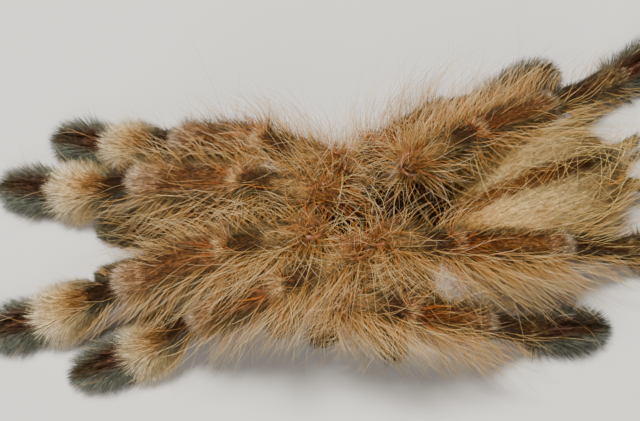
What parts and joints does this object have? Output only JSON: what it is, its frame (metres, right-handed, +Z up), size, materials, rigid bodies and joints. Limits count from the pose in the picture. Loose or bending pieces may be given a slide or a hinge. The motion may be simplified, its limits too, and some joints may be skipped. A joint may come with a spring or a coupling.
{
  "type": "poecilotheria bara (tree tarantula), still life-size model",
  "caption": "Life-size tree tarantula crouched flat with its knees drawn up over its carapace, front legs and palps reaching forward, abdomen turned slightly aside.",
  "frame": {"origin": "middle of the footprint, on the ground under the feet", "axes": "+Z up from the ground, head towards -X, left side of the body towards -Y, abdomen towards +X"},
  "size_m": [0.0944, 0.0496, 0.0242],
  "materials": {
    "coat_brown": "dense short bristles with long curved hairs, matt",
    "coat_cream": "dense soft bristles, matt",
    "coat_grey": "velvety pad of fine hairs, faint sheen",
    "coat_tan": "dense bristles with long golden hairs, matt",
    "coat_red_brown": "short close hairs, satin",
    "coat_dark": "velvet, matt",
    "fang": "hard chitin, glossy",
    "eyes": "polished, glossy"
  },
  "bodies": {
    "root": {"abdomen": "coat_tan", "carapace": "coat_red_brown", "chelicera_l": "coat_brown", "chelicera_r": "coat_brown", "eye_tubercle": "eyes", "fang_l": "fang", "fang_r": "fang", "leg_l1_femur": "coat_brown", "leg_l1_metatarsus": "coat_cream", "leg_l1_patella": "coat_brown", "leg_l1_tarsus": "coat_grey", "leg_l1_tibia": "coat_brown", "leg_l2_femur": "coat_brown", "leg_l2_metatarsus": "coat_cream", "leg_l2_patella": "coat_brown", "leg_l2_tarsus": "coat_grey", "leg_l2_tibia": "coat_brown", "leg_l3_femur": "coat_brown", "leg_l3_metatarsus": "coat_cream", "leg_l3_patella": "coat_brown", "leg_l3_tarsus": "coat_grey", "leg_l3_tibia": "coat_brown", "leg_l4_femur": "coat_brown", "leg_l4_metatarsus": "coat_cream", "leg_l4_patella": "coat_brown", "leg_l4_tarsus": "coat_grey", "leg_l4_tibia": "coat_brown", "leg_r1_femur": "coat_brown", "leg_r1_metatarsus": "coat_cream", "leg_r1_patella": "coat_brown", "leg_r1_tarsus": "coat_grey", "leg_r1_tibia": "coat_brown", "leg_r2_femur": "coat_brown", "leg_r2_metatarsus": "coat_cream", "leg_r2_patella": "coat_brown", "leg_r2_tarsus": "coat_grey", "leg_r2_tibia": "coat_brown", "leg_r3_femur": "coat_brown", "leg_r3_metatarsus": "coat_cream", "leg_r3_patella": "coat_brown", "leg_r3_tarsus": "coat_grey", "leg_r3_tibia": "coat_brown", "leg_r4_femur": "coat_brown", "leg_r4_metatarsus": "coat_cream", "leg_r4_patella": "coat_brown", "leg_r4_tarsus": "coat_grey", "leg_r4_tibia": "coat_brown", "palp_l_femur": "coat_brown", "palp_l_tarsus": "coat_grey", "palp_l_tibia": "coat_tan", "palp_r_femur": "coat_brown", "palp_r_tarsus": "coat_grey", "palp_r_tibia": "coat_tan", "pedicel": "coat_dark", "spinneret_l": "coat_brown", "spinneret_r": "coat_brown", "sternum": "coat_dark"}
  },
  "joints": []
}
